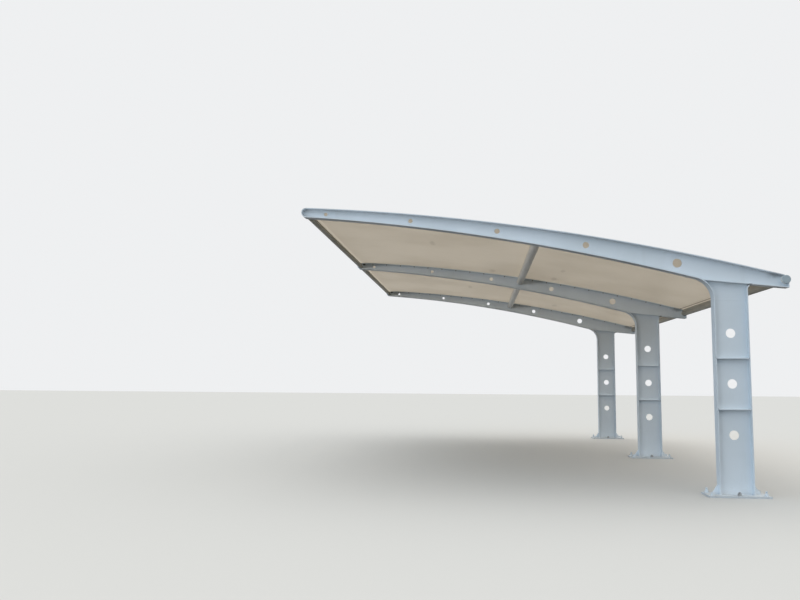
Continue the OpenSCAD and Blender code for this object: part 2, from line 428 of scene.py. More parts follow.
def streaks(graph: Graph, given: dict[str, Socket]) -> Socket:
    """Runs that rain leaves on upright faces.

    Args:
        graph: The group's nodes.
        given: The group's inputs.

    Returns:
        The mask.
    """
    fine = graph.noise(graph.place((11.0, 11.0, 1.1)), scale=1.0, detail=3.0, rough=0.55)
    broad = graph.noise(graph.place((2.5, 2.5, 1.2)), scale=1.0)
    upright = graph.ease(graph.math("ABSOLUTE", graph.steepness()), 0.25, 0.7, 1.0, 0.0)
    return graph.product(graph.ease(fine, 0.5, 0.78), graph.ease(broad, 0.4, 0.7), upright,
                         given["amount"])


def splash(graph: Graph, given: dict[str, Socket]) -> Socket:
    """Mud and cement that rain throws up from the ground, thinning out with height.

    Args:
        graph: The group's nodes.
        given: The group's inputs.

    Returns:
        The mask.
    """
    height = graph.node("SeparateXYZ", {0: graph.place()}).outputs[2]
    reach = graph.math("DIVIDE", height, given["height"])
    cloud = graph.noise(graph.place(), scale=9.0, detail=6.0, rough=0.7)
    speck = graph.noise(graph.place(), scale=130.0, detail=2.0, rough=0.6)
    near = graph.ease(graph.math("SUBTRACT", cloud, reach), -0.15, 0.5)
    dots = graph.product(graph.ease(speck, 0.60, 0.68), graph.ease(reach, 0.4, 1.9, 1.0, 0.0))
    return graph.product(graph.math("MAXIMUM", near, dots), given["amount"])


def dust(graph: Graph, given: dict[str, Socket]) -> Socket:
    """Dust that lies on faces which look up.

    Args:
        graph: The group's nodes.
        given: The group's inputs.

    Returns:
        The mask.
    """
    cloud = graph.noise(graph.place(), given["scale"], detail=6.0, rough=0.65)
    return graph.product(graph.ease(graph.steepness(), 0.55, 0.95),
                         graph.ease(cloud, 0.25, 0.75), given["amount"])


def spot(graph: Graph, given: dict[str, Socket]) -> Socket:
    """One soft blot with an uneven rim.

    Args:
        graph: The group's nodes.
        given: The group's inputs.

    Returns:
        The mask.
    """
    place = graph.place()
    gap = graph.node("VectorMath", {0: place, 1: given["centre"]}, operation="SUBTRACT")
    gap = graph.node("VectorMath", {0: gap.outputs[0], 1: given["weight"]}, operation="MULTIPLY")
    away = graph.node("VectorMath", {0: gap.outputs[0]}, operation="LENGTH").outputs["Value"]
    uneven = graph.noise(place, scale=14.0, detail=4.0, rough=0.6)
    edge = graph.math("ADD", away, graph.product(uneven, given["radius"]))
    return graph.ease(graph.math("DIVIDE", edge, given["radius"]), 0.75, 1.5, 1.0, 0.0)


def stripe(graph: Graph, given: dict[str, Socket]) -> Socket:
    """A band with soft rims between two places along the cloth.

    Args:
        graph: The group's nodes.
        given: The group's inputs.

    Returns:
        The mask.
    """
    rims = (graph.math("DIVIDE", graph.math("SUBTRACT", given[a], given[b]), given["rim"],
                       clamp=True) for a, b in (("along", "start"), ("end", "along")))
    return graph.product(*rims)


def sprayed(graph: Graph, given: dict[str, Socket]) -> Socket:
    """Sprayed enamel: orange peel over plates that the welding left a little wavy.

    Args:
        graph: The group's nodes.
        given: The group's inputs.

    Returns:
        The relief's height.
    """
    peel = graph.noise(graph.place(), scale=190.0)
    wave = graph.noise(graph.place((2.2, 2.2, 3.0)), scale=1.0, rough=0.4)
    return graph.math("ADD", graph.product(peel, given["peel"]),
                      graph.product(wave, given["wave"]))


PATCHES = Effect("patches", {"scale": 1.0}, patches)
STREAKS = Effect("streaks", {"amount": 1.0}, streaks)
SPLASH = Effect("splash", {"height": 0.25, "amount": 1.0}, splash)
DUST = Effect("dust", {"scale": 6.0, "amount": 1.0}, dust)
SPOT = Effect("spot", {"centre": (0.0, 0.0, 0.0), "weight": (1.0, 1.0, 1.0), "radius": 0.05},
              spot)
STRIPE = Effect("stripe", {"along": 0.0, "start": 0.0, "end": 1.0, "rim": 0.01}, stripe)
SPRAYED = Effect("sprayed", {"peel": 0.00005, "wave": 0.001}, sprayed)


# Finishes


def rgba(colour: Colour, shares: Sequence[float] = (1.0, 1.0, 1.0)) -> tuple[float, ...]:
    """An opaque colour, each part of it multiplied by its share."""
    return (*(part * share for part, share in zip(colour, shares)), 1.0)


RUST = rgba((0.20, 0.085, 0.035))
# Colour of rain runs on the steel, of the blots on the cloth, and of painted shade in the cloth's
# shade bands.
GRIME_AND_SHADE = rgba((0.30, 0.27, 0.22))
CEMENT = rgba((0.40, 0.37, 0.33))
# The dark of painted shade in corners and recesses.
SHADE_DARK = rgba((0.05, 0.048, 0.045))
ROAD_DUST = rgba((0.54, 0.51, 0.45))
# Painted shade on the sleeves round the tubes.
SLEEVE_SHADE = rgba((0.22, 0.24, 0.24))
# Painted highlight of the welded laps, in their colour and in the light that passes them.
WELD_HIGHLIGHT = rgba((0.90, 0.88, 0.82))
WELD_THROUGH_HIGHLIGHT = rgba((1.0, 0.94, 0.85))


def new_material(name: str) -> tuple[bpy.types.Material, Graph, bpy.types.Node]:
    """Starts a material.

    Args:
        name: The material's name.

    Returns:
        The material, its graph and its Principled shader.
    """
    material = bpy.data.materials.new(name)
    material.use_nodes = True
    return material, Graph(material.node_tree), material.node_tree.nodes["Principled BSDF"]


@dataclass(frozen=True)
class Smudge:
    """A dark blot of painted shade, where a corner or recess lies in shade."""

    centre: Place
    radius: float
    weight: Place = (1.0, 6.0, 2.0)
    strength: float = 0.92


@dataclass(frozen=True)
class Paint:
    """White enamel, sprayed on welded steel.

    The shares in faded give the colour where the weather has worn it. The splash is what the
    ground throws up, and its height is where it ends. The shade blots are painted shade in
    corners and recesses.
    """

    name: str
    colour: Colour = (0.75, 0.815, 0.875)
    faded: Colour = (0.93, 0.935, 0.93)
    roughness: float = 0.48
    streak: float = 0.10
    splash: float = 0.0
    splash_height: float = 0.25
    dust: float = 0.5
    peel: float = 0.00004
    wave: float = 0.0012
    shine: float = 0.15
    uneven: float = 0.08
    dust_rough: float = 0.5
    splash_rough: float = 0.45
    smudges: tuple[Smudge, ...] = ()

    def material(self) -> bpy.types.Material:
        """Builds the paint with its weathering.

        Returns:
            The material.
        """
        material, graph, shader = new_material(self.name)
        cloud = graph.use(PATCHES, scale=1.1)
        dusty = graph.use(DUST, scale=7.0, amount=self.dust)
        colour = graph.tint(cloud, rgba(self.colour), rgba(self.colour, self.faded))
        colour = graph.tint(graph.use(STREAKS, amount=self.streak), colour, GRIME_AND_SHADE)
        colour = graph.tint(dusty, colour, CEMENT)
        rough = graph.ease(cloud, 0.0, 1.0, self.roughness, self.roughness + self.uneven)
        rough = graph.roughen(rough, dusty, self.dust_rough)
        if self.splash:
            muddy = graph.use(SPLASH, height=self.splash_height, amount=self.splash)
            colour = graph.tint(muddy, colour, CEMENT)
            rough = graph.roughen(rough, muddy, self.splash_rough)
        # Painted shade: each blot darkens a corner or recess where shade falls.
        for shade_blot in self.smudges:
            painted_dark = graph.use(SPOT, centre=shade_blot.centre, weight=shade_blot.weight,
                             radius=shade_blot.radius)
            colour = graph.tint(graph.product(painted_dark, shade_blot.strength), colour, SHADE_DARK)
        graph.surface(shader, colour, rough, graph.use(SPRAYED, peel=self.peel, wave=self.wave))
        shader.inputs["Specular IOR Level"].default_value = self.shine
        return material


@dataclass(frozen=True)
class BareMetal:
    """Unpainted metal: drawn flat bar, zinc plate or weathered steel.

    The shares in dulled give the colour in the hollows of the grain.
    """

    name: str
    colour: Colour
    roughness: float
    metallic: float = 1.0
    grain: Place = (40.0, 40.0, 40.0)
    dulled: Colour = (0.72, 0.72, 0.72)
    relief: float = 0.00006
    dull: float = 0.1
    bright: float = 0.06
    rust: float = 0.0
    rust_rough: float = 0.4

    def material(self) -> bpy.types.Material:
        """Builds the metal with its grain and rust.

        Returns:
            The material.
        """
        material, graph, shader = new_material(self.name)
        grain = graph.noise(graph.place(self.grain), scale=1.0, detail=3.0, rough=0.6)
        colour = graph.tint(graph.ease(grain, 0.3, 0.7), rgba(self.colour, self.dulled),
                            rgba(self.colour))
        rough = graph.ease(grain, 0.25, 0.75, self.roughness + self.dull,
                           self.roughness - self.bright)
        shader.inputs["Metallic"].default_value = self.metallic
        if self.rust:
            rusty = graph.product(graph.use(PATCHES, scale=9.0), self.rust)
            colour = graph.tint(rusty, colour, RUST)
            rough = graph.roughen(rough, rusty, self.rust_rough)
            graph.feed(shader.inputs["Metallic"],
                       graph.product(graph.math("SUBTRACT", 1.0, rusty), self.metallic))
        graph.surface(shader, colour, rough, graph.product(grain, self.relief))
        return material


@dataclass(frozen=True)
class CoatedCloth:
    """Coated polyester membrane: cream, semi-gloss, and letting some daylight through.

    Welds and shade bands are bands across the sheet, each from one distance from the nose to
    another. The welded laps are real, and are drawn lighter than the sheet as a painted highlight.
    The shade bands are painted shade at the step of a lap. The sleeves begin before the first and
    after the second distance of sleeves, and are darkened as painted shade. The shares in worn
    and worn_through give the colours where the weather has worn the coating.
    """

    name: str
    welds: tuple[Point, ...]
    creases: tuple[Point, ...]
    sleeves: Point
    colour: Colour = (0.88, 0.865, 0.81)
    through: Colour = (0.86, 0.80, 0.715)
    worn: Colour = (0.95, 0.94, 0.91)
    worn_through: Colour = (0.95, 0.95, 0.95)
    share_through: float = 0.56
    roughness: float = 0.36
    thread: float = 0.0016
    relief: float = 0.00002
    dust: float = 0.35
    uneven: float = 0.07
    dust_rough: float = 0.35
    weld_rim: float = 0.004
    crease_rim: float = 0.005
    crease_strength: float = 0.75
    sleeve_rim: float = 0.02
    front_sleeve: float = 0.52
    back_sleeve: float = 0.8
    back_fade: Point = (0.13, 0.15)
    back_rest: float = 0.45
    stain_weight: Place = (1.0, 0.22, 0.1)
    stain_strength: float = 0.2
    # The first and third blots are painted reflection: the middle frame's web holes seen in the
    # glossy cloth.
    stains: tuple[tuple[Place, float], ...] = (
        ((-1.546, -0.604, 2.842), 0.060), ((-1.514, -1.623, 2.836), 0.045),
        ((-2.513, -0.496, 2.992), 0.070), ((-3.350, -2.750, 3.090), 0.050),
        ((-2.900, 1.900, 3.040), 0.060), ((-1.200, 3.100, 2.760), 0.070))

    def material(self) -> bpy.types.Material:
        """Builds the cloth, whose map runs along its threads in metres.

        Returns:
            The material.
        """
        material, graph, shader = new_material(self.name)
        uv = graph.node("UVMap", uv_map=MembranePanel.MAP).outputs[0]
        along = graph.node("SeparateXYZ", {0: uv}).outputs[1]
        cloud = graph.use(PATCHES, scale=0.9)
        dusty = graph.use(DUST, scale=2.2, amount=self.dust)
        colour = graph.tint(cloud, rgba(self.colour), rgba(self.colour, self.worn))
        colour = graph.tint(dusty, colour, ROAD_DUST)
        light = graph.tint(cloud, rgba(self.through), rgba(self.through, self.worn_through))
        for mask, over, glow in self._marks(graph, along):
            colour = graph.tint(mask, colour, over)
            light = graph.tint(mask, light, glow)
        rough = graph.ease(cloud, 0.0, 1.0, self.roughness, self.roughness + self.uneven)
        rough = graph.roughen(rough, dusty, self.dust_rough)
        normal = graph.surface(shader, colour, rough, self._weave(graph, uv))
        lit = graph.node("BsdfTranslucent", {"Color": light, "Normal": normal})
        blend = graph.node("MixShader", {0: self.share_through, 1: shader.outputs[0],
                                         2: lit.outputs[0]})
        output = material.node_tree.nodes["Material Output"]
        graph.feed(output.inputs["Surface"], blend.outputs[0])
        return material

    def _marks(self, graph: Graph, along: Socket) -> list[tuple[Socket, Feed, Feed]]:
        """The marks on the cloth, from the lowest to the uppermost.

        Args:
            graph: The material's nodes.
            along: Distance from the nose along the cloth.

        Returns:
            For each mark its mask, its colour, and the colour of light that passes it.
        """
        # The welded laps are real; their lighter colours are a painted highlight.
        marks = [(graph.use(STRIPE, along=along, start=start, end=end, rim=self.weld_rim),
                  WELD_HIGHLIGHT, WELD_THROUGH_HIGHLIGHT) for start, end in self.welds]
        # Painted shade: a dark band at the step of the back lap.
        for start, end in self.creases:
            shade_band = graph.use(STRIPE, along=along, start=start, end=end,
                               rim=self.crease_rim)
            marks.append((graph.product(shade_band, self.crease_strength), GRIME_AND_SHADE, GRIME_AND_SHADE))
        # Painted shade: the sleeves are darkened, most over the first part of the back sleeve.
        behind = graph.math("SUBTRACT", along, self.sleeves[1])
        behind = graph.product(
            graph.ease(behind, 0.0, self.sleeve_rim, 0.0, self.back_sleeve),
            graph.ease(behind, *self.back_fade, 1.0, self.back_rest))
        before = graph.ease(along, self.sleeves[0], self.sleeves[0] - self.sleeve_rim, 0.0,
                            self.front_sleeve)
        marks.append((graph.math("MAXIMUM", before, behind), SLEEVE_SHADE, SLEEVE_SHADE))
        # Blots on the cloth, two of them painted reflection of web holes.
        for centre, radius in self.stains:
            blot = graph.use(SPOT, centre=centre, weight=self.stain_weight, radius=radius)
            marks.append((graph.product(blot, self.stain_strength), GRIME_AND_SHADE, GRIME_AND_SHADE))
        return marks

    def _weave(self, graph: Graph, uv: Socket) -> Socket:
        """Height of the threads that show faintly through the coating.

        Args:
            graph: The material's nodes.
            uv: The map along the threads.

        Returns:
            The relief's height.
        """
        parts = graph.node("SeparateXYZ", {0: uv}).outputs
        waves = (graph.math("SINE", graph.product(parts[i], 2 * pi / self.thread))
                 for i in (0, 1))
        return graph.product(*waves, self.relief)


# Mesh building


def link(name: str, data: bpy.types.ID) -> bpy.types.Object:
    """Makes an object and puts it in the scene.

    Args:
        name: The object's name.
        data: Its mesh, lamp or camera.

    Returns:
        The object.
    """
    obj = bpy.data.objects.new(name, data)
    bpy.context.scene.collection.objects.link(obj)
    return obj


def dress(node: str, material: bpy.types.Material) -> None:
    """Puts a material on a CAD node through its object's slots.

    Args:
        node: The node's name.
        material: The material.
    """
    for slot in frame["nodes"][node].material_slots:
        slot.link = "OBJECT"
        slot.material = material


def pattern(name: str, build: Callable[[bmesh.types.BMesh], object]) -> bpy.types.Mesh:
    """Makes a mesh.

    Args:
        name: The mesh's name.
        build: Fills a bmesh.

    Returns:
        The mesh.
    """
    bm = bmesh.new()
    build(bm)
    mesh = bpy.data.meshes.new(name)
    bm.to_mesh(mesh)
    bm.free()
    return mesh


class Piece:
    """A bmesh that grows into one object of the canopy."""

    def __init__(self, name: str) -> None:
        """Starts an empty mesh under the piece's name."""
        self.name = name
        self.bm = bmesh.new()

    def stamp(self, mesh: bpy.types.Mesh, places: Iterable[Matrix]) -> None:
        """Adds copies of a finished mesh.

        Args:
            mesh: The mesh.
            places: Place and turn of each copy.
        """
        for place in places:
            known = len(self.bm.verts)
            self.bm.from_mesh(mesh)
            self.bm.verts.ensure_lookup_table()
            bmesh.ops.transform(self.bm, matrix=place, verts=self.bm.verts[known:])

    def bead(self, path: Sequence[Vector], up: Vector, size: Point, closed: bool = False,
             ripple: float = 0.12, sides: int = 6) -> None:
        """Lays a weld along a path, as a thick round bead that is half sunk in the steel.

        Args:
            path: The places that the bead's middle passes, close together.
            up: Direction of the section's second half axis.
            size: Half axes of the section.
            closed: True where the path ends at its start.
            ripple: Share by which the section swells and shrinks from place to place.
            sides: Corners of the section.
        """
        spots = self._sections(path, up, size, closed, ripple)
        steps = len(spots) if closed else len(spots) - 1

        def build(bm: bmesh.types.BMesh) -> None:
            """Rolls a grid up into the bead and closes its ends.

            Args:
                bm: The mesh that grows.
            """
            made = bmesh.ops.create_grid(bm, x_segments=steps, y_segments=sides, size=0.5)
            for vert in made["verts"]:
                i = round((vert.co.x + 0.5) * steps)
                turn = 2 * pi * round((vert.co.y + 0.5) * sides) / sides
                vert.co = spots[i % len(spots)] @ Vector((cos(turn), sin(turn), 0.0))
            bmesh.ops.remove_doubles(bm, verts=bm.verts[:], dist=TINY)
            bmesh.ops.holes_fill(bm, edges=[e for e in bm.edges if e.is_boundary], sides=sides)

        mesh = pattern("bead", build)
        self.bm.from_mesh(mesh)
        bpy.data.meshes.remove(mesh)

    @staticmethod
    def _sections(path: Sequence[Vector], up: Vector, size: Point, closed: bool,
                  ripple: float) -> list[Matrix]:
        """The bead's section at each point of its path.

        Args:
            path: The places that the bead's middle passes.
            up: Direction of the section's second half axis.
            size: Half axes of the section.
            closed: True where the path ends at its start.
            ripple: Share by which the section swells and shrinks.

        Returns:
            The section's place, turn and size at each point.
        """
        rng = random.Random(len(path))
        places = []
        last = len(path) - 1
        for i, place in enumerate(path):
            if closed:
                ahead = path[(i + 1) % len(path)] - path[i - 1]
            else:
                ahead = path[min(i + 1, last)] - path[max(i - 1, 0)]
            ahead.normalize()
            side = up.cross(ahead).normalized()
            rise = ahead.cross(side)
            swell = 1.0 + ripple * ((i % 2) - 0.5 + rng.uniform(-0.5, 0.5))
            turn = Matrix((side * size[0] * swell, rise * size[1] * swell, ahead * size[1]))
            places.append(Matrix.Translation(place) @ turn.transposed().to_4x4())
        return places

    def finish(self, material: bpy.types.Material, slot: Slot, sharp: float = 35.0
               ) -> bpy.types.Object:
        """Turns the mesh into an object that rides on the frame.

        Args:
            material: The piece's material.
            slot: Not used.
            sharp: Edges that turn more than this stay sharp.

        Returns:
            The object.
        """
        bmesh.ops.recalc_face_normals(self.bm, faces=self.bm.faces[:])
        mesh = bpy.data.meshes.new(self.name)
        self.bm.to_mesh(mesh)
        self.bm.free()
        mesh.shade_smooth()
        mesh.set_sharp_from_angle(angle=radians(sharp))
        mesh.materials.append(material)
        piece = link(self.name, mesh)
        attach(piece, BODY)
        log.info("%s: %d faces", self.name, len(mesh.polygons))
        return piece


def cylinder(bm: bmesh.types.BMesh, radius: float, low: float, high: float, sides: int,
             chamfer: float = 0.0) -> None:
    """Adds an upright prism or cylinder with its upper corners taken off.

    Args:
        bm: The mesh that grows.
        radius: Radius of the corners.
        low: Height of the foot.
        high: Height of the top.
        sides: Number of sides.
        chamfer: Size of the taken-off corners.
    """
    middle = (low + high) / 2
    made = bmesh.ops.create_cone(
        bm, cap_ends=True, cap_tris=False, segments=sides, radius1=radius, radius2=radius,
        depth=high - low, matrix=Matrix.Translation((0, 0, middle)))["verts"]
    if chamfer:
        top = [vert for vert in made if vert.co.z > middle]
        # Known fault: the order of this set, and of the corners that follow, isn't fixed
        rim = list({edge for vert in top for edge in vert.link_edges
                    if all(end in top for end in edge.verts)})
        bmesh.ops.bevel(bm, geom=rim, offset=chamfer, offset_type="OFFSET", affect="EDGES",
                        segments=1, profile=0.5, material=-1)


@dataclass(frozen=True)
class ClampBolt:
    """A zinc plated hex bolt through clamp strip, membrane and flange."""

    across: float = 0.017
    head: float = 0.0065
    nut: float = 0.0085
    washer_r: float = 0.0105
    washer_t: float = 0.002
    shank_r: float = 0.005
    tail: float = 0.007
    lift: float = 0.006
    grip: float = 0.010
    chamfer: float = 0.001

    def mesh(self) -> bpy.types.Mesh:
        """Builds the bolt, with its origin on the flange's upper face and its head on +Z."""
        return pattern("clamp_bolt", self._fill)

    def _fill(self, bm: bmesh.types.BMesh) -> None:
        """Adds head, nut, washers and tail.

        Args:
            bm: The mesh that grows.
        """
        corner = self.across / 3 ** 0.5
        top = self.lift + self.washer_t
        cylinder(bm, self.washer_r, self.lift, top, 12)
        cylinder(bm, corner, top, top + self.head, 6, self.chamfer)
        known = len(bm.verts)
        under = self.grip + self.washer_t
        tail = under + self.nut
        cylinder(bm, self.washer_r, self.grip, under, 12)
        cylinder(bm, corner, under, tail, 6, self.chamfer)
        cylinder(bm, self.shank_r, tail, tail + self.tail, 8, self.chamfer)
        bm.verts.ensure_lookup_table()
        # Known fault: the bevels free places in the list that later corners take, so this
        # turns six corners of the head too and misses six of the nut and lower washer
        bmesh.ops.transform(bm, matrix=Matrix.Rotation(pi, 4, "X"), verts=bm.verts[known:])


@dataclass(frozen=True)
class AnchorBolt:
    """An anchor rod with its thread, nut and washer, which stands above the nut."""

    stands: float
    rod_r: float = 0.012
    pitch: float = 0.003
    depth: float = 0.0018
    across: float = 0.036
    nut: float = 0.0215
    washer_r: float = 0.022
    washer_t: float = 0.004
    washer_chamfer: float = 0.0006
    nut_chamfer: float = 0.0025

    def mesh(self) -> bpy.types.Mesh:
        """Builds the bolt from the face that its washer lies on."""
        return pattern("anchor_bolt", self._fill)

    def _fill(self, bm: bmesh.types.BMesh) -> None:
        """Adds washer, nut and threaded rod.

        Args:
            bm: The mesh that grows.
        """
        top = self.washer_t + self.nut
        cylinder(bm, self.washer_r, 0.0, self.washer_t, 28, self.washer_chamfer)
        cylinder(bm, self.across / 3 ** 0.5, self.washer_t, top, 6, self.nut_chamfer)
        self._rod(bm, top, top + self.stands)

    def _rod(self, bm: bmesh.types.BMesh, low: float, high: float) -> None:
        """Spins the rod's toothed profile around its axis.

        Args:
            bm: The mesh that grows.
            low: Height of the nut's top.
            high: Height of the rod's end.
        """
        turns = max(1, round((high - low) / self.pitch))
        profile = [(0.0, low), (self.rod_r - self.depth, low)]
        for i in range(turns):
            foot = low + (high - low) * i / turns
            profile += [(self.rod_r, foot + self.pitch * 0.4),
                        (self.rod_r - self.depth, foot + self.pitch * 0.9)]
        profile += [(self.rod_r - self.depth * 1.4, high), (0.0, high)]
        vert = bmesh.ops.create_vert(bm, co=(profile[0][0], 0.0, profile[0][1]))["vert"][0]
        chain: list = [vert]
        for radius, height in profile[1:]:
            grown = bmesh.ops.extrude_vert_indiv(bm, verts=[vert])
            vert = grown["verts"][0]
            vert.co = (radius, 0.0, height)
            chain += grown["edges"] + [vert]
        bmesh.ops.spin(bm, geom=chain, cent=(0, 0, 0), axis=(0, 0, 1), dvec=(0, 0, 0),
                       angle=2 * pi, steps=20, use_merge=True, use_duplicate=False)
        bmesh.ops.remove_doubles(bm, verts=bm.verts[:], dist=TINY)


# Membrane


@dataclass(frozen=True)
class SheetEnd:
    """One end of the membrane, which goes round a tube and is welded to its own underside.

    The roof's last point lies at start along the curve. The cloth comes back to the roof at
    meet from there. It goes round by way of -X where turn is 1, and by way of +X where it is
    -1. At a frame it is only turned down, over the nose or the back tube.
    """

    start: float
    turn: int
    tube: Point
    tube_r: float
    hem: Point
    hem_r: float
    meet: float


@dataclass
class MembranePanel:
    """The membrane over one bay, cut as one sheet with a sleeve at each end.

    The sheet lies on the beams' flanges under the clamp strips. Between the beams it is
    stretched from the front tube over the middle tube to the back tube.
    """

    MAP = "threads"
    STEPS = (4, 15, 3, 3)

    bay: Bay
    edge: float = 0.008
    edge_rows: tuple[float, ...] = (0.022, 0.036)
    edge_gap: float = 0.012
    cloth_t: float = 0.0009
    hem_t: float = 0.0018
    hem_w: float = 0.050
    clear: float = 0.0002
    rows: int = 156
    columns: int = 120
    lap: float = 0.004
    front_meet: float = 0.018
    back_meet: float = 0.040
    front_weld_w: float = 0.050
    back_weld_w: float = 0.034
    crease_w: float = 0.026
    tab: float = 0.050
    tab_steps: int = 4
    lift_run: float = 0.13
    slit: float = 0.0035
    tube_run: float = 0.060
    tube_rows: int = 25
    tube_gap: float = 0.01
    tube_share: float = 0.9
    mesh_columns: int = 122
    sweeps: int = 700
    relax: float = 1.9

    def build(self) -> None:
        """Makes the sheet with its corners cut and gives it its thickness."""
        across = self._across()
        field = self._stretch(across)
        shape = [self._section(v, heights) for v, heights in zip(across, field)]
        lengths = self._lengths(shape[len(across) // 2])
        piece = self._grid(across, shape, lengths)
        obj = piece.finish(self._cloth().material(), Slot.MEMBRANE, sharp=60.0)
        obj.vertex_groups.new(name="hem")
        wall = obj.modifiers.new("cloth thickness", "SOLIDIFY")
        wall.thickness = self.hem_t
        wall.offset = 1.0
        wall.vertex_group = "hem"
        wall.thickness_vertex_group = self.cloth_t / self.hem_t
        rests = [f"{row.label}_beam_top_flange" for row in self.bay.value]
        rests += [f"{self.bay.label}_{tube}_tube" for tube in ("front", "middle", "back")]
        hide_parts(f"{self.bay.label}_membrane")

    @cached_property
    def half_flange(self) -> float:
        """Distance from a frame's middle plane to the edge of its flanges."""
        return LINE.flange_w / 2

    @cached_property
    def wrap(self) -> int:
        """Number of points past the roof at each end of a column."""
        return sum(self.STEPS) - 1

    @cached_property
    def stations(self) -> np.ndarray:
        """The rows' places, close together over the middle tube.

        Returns:
            Distances from the nose.
        """
        tube = radians(LINE.tilt_at(LINE.middle_tube) - LINE.top_tilt) * LINE.upper_r
        even = np.linspace(0.0, LINE.length, self.rows)
        close = tube + np.linspace(-self.tube_run, self.tube_run, self.tube_rows)
        clear = abs(even - tube) > self.tube_run + self.tube_gap
        return np.sort(np.concatenate([even[clear], close]))

    def _cloth(self) -> CoatedCloth:
        """The finish, with welds and shade bands where this sheet has them.

        Returns:
            The cloth.
        """
        front, back = self.front_meet, LINE.length - self.back_meet - self.back_weld_w
        return CoatedCloth(f"{self.bay.label}_coated_membrane",
                           welds=((front, front + self.front_weld_w),
                                  (back, back + self.back_weld_w)),
                           creases=((back - self.crease_w, back),), sleeves=(0.0, LINE.length))

    def _across(self) -> list[float]:
        """The columns' places.

        Returns:
            Distances from the near frame's middle plane.
        """
        inside = self.half_flange + self.slit
        near = [self.edge, *self.edge_rows, self.half_flange - self.edge_gap, self.half_flange,
                inside]
        inner = np.linspace(inside, BAY - self.half_flange - self.slit, self.columns)
        return near + list(inner[1:-1]) + [BAY - v for v in reversed(near)]

    def _from_frame(self, across: float) -> float:
        """Distance of a column from the middle plane of the nearer frame."""
        return min(across, BAY - across)

    def _stretch(self, across: Sequence[float]) -> np.ndarray:
        """Finds the height of the stretched cloth over the curve of the beams.

        A stretched sheet has no curvature on the whole: where it bends down along the beams
        it bends up across them, until it rests on a tube.

        Args:
            across: The columns' places.

        Returns:
            Heights by column and row.
        """
        run = BAY - 2 * self.half_flange
        cross = np.linspace(0.0, run, self.mesh_columns)
        along = np.linspace(0.0, LINE.length, self.rows)
        height = np.zeros((self.mesh_columns, self.rows))
        floor = self._tube_line(along)
        ramp = np.clip(np.minimum(cross, run - cross) / self.lift_run, 0.0, 1.0)
        front = self._front_drop() * (ramp * ramp * (3 - 2 * ramp))
        cu, cv = 1 / along[1] ** 2, 1 / cross[1] ** 2
        checker = np.add.outer(np.arange(self.mesh_columns), np.arange(self.rows)) % 2
        for _ in range(self.sweeps):
            height[:, 0] = front
            for shade in (0, 1):
                ring = (cu * (height[1:-1, 2:] + height[1:-1, :-2])
                        + cv * (height[2:, 1:-1] + height[:-2, 1:-1])
                        - 1 / LINE.upper_r) / (2 * cu + 2 * cv)
                inner = height[1:-1, 1:-1]
                moved = np.maximum(inner + self.relax * (ring - inner), floor[None, 1:-1])
                chosen = checker[1:-1, 1:-1] == shade
                inner[chosen] = moved[chosen]
        inside = np.clip(np.asarray(across) - self.half_flange, 0, run)
        rows = np.stack([np.interp(inside, cross, row) for row in height.T], axis=1)
        sheet = np.stack([np.interp(self.stations, along, column) for column in rows])
        return np.maximum(sheet, self._tube_line(self.stations)[None, :])

    def _tube_line(self, along: np.ndarray) -> np.ndarray:
        """Height of the middle tube's upper side over the beams' curve.

        Args:
            along: Distances from the nose.

        Returns:
            The heights there, and -1 beside the tube.
        """
        low = np.full(len(along), -1.0)
        for i, s in enumerate(along):
            side, rise = self._over(LINE.middle_tube, s)
            if abs(side) < LINE.middle_r * self.tube_share:
                low[i] = (LINE.middle_r ** 2 - side ** 2) ** 0.5 - rise + self.clear
        return low

    @staticmethod
    def _over(axis: Point, along: float) -> Point:
        """A point of the upper curve seen from a tube's axis.

        Args:
            axis: The tube's axis.
            along: The point's distance from the nose.

        Returns:
            Its distances from the axis along the curve and off the curve.
        """
        base = LINE.top(along)
        n = unit(LINE.tilt(along))
        x, z = base[0] - axis[0], base[1] - axis[1]
        return x * n[1] - z * n[0], x * n[0] + z * n[1]

    def _front_drop(self) -> float:
        """Height of the front tube's upper side over the beams' curve."""
        return LINE.front_r + self.clear - self._over(LINE.front_tube, 0.0)[1]

    def _section(self, across: float, heights: np.ndarray) -> list[Point]:
        """One column of the sheet, from the end of its front weld to the end of its back weld.

        Args:
            across: The column's place.
            heights: The roof's heights over the beams' curve.

        Returns:
            The column's points.
        """
        front = SheetEnd(0.0, 1, LINE.front_tube, LINE.front_r, LINE.nose, LINE.nose_r,
                         self.front_meet)
        back = SheetEnd(LINE.length, -1, LINE.back_tube, LINE.back_r, LINE.back_tube,
                        LINE.back_r, self.back_meet)
        roof = [LINE.top(s, float(h) + self.clear) for s, h in zip(self.stations, heights)]
        ways = [self._end(end, across, heights) for end in (front, back)]
        return list(reversed(ways[0][1:])) + roof + ways[1][1:]

    def _end(self, end: SheetEnd, across: float, heights: np.ndarray) -> list[Point]:
        """The cloth's way past the roof at one end.

        Args:
            end: The end.
            across: The column's place.
            heights: The roof's heights over the beams' curve.

        Returns:
            The points from the roof's last one to the end of the lap.
        """
        def roof(back: float) -> Point:
            """The roof's point at a distance back from its end."""
            s = end.start + end.turn * back
            return LINE.top(s, float(np.interp(s, self.stations, heights)) + self.clear)

        leave, meet, onward = (roof(d) for d in (0.0, end.meet, end.meet + self.lap))
        if self._from_frame(across) > self.half_flange + TINY:
            return self._sleeve(end, leave, meet, onward)
        start = atan2(leave[1] - end.hem[1], leave[0] - end.hem[0])
        sweep = end.turn * self.tab / end.hem_r / self.tab_steps
        turns = (start + sweep * i for i in range(self.wrap + 1))
        return [step_from(end.hem, (cos(a), sin(a)), end.hem_r + self.clear) for a in turns]

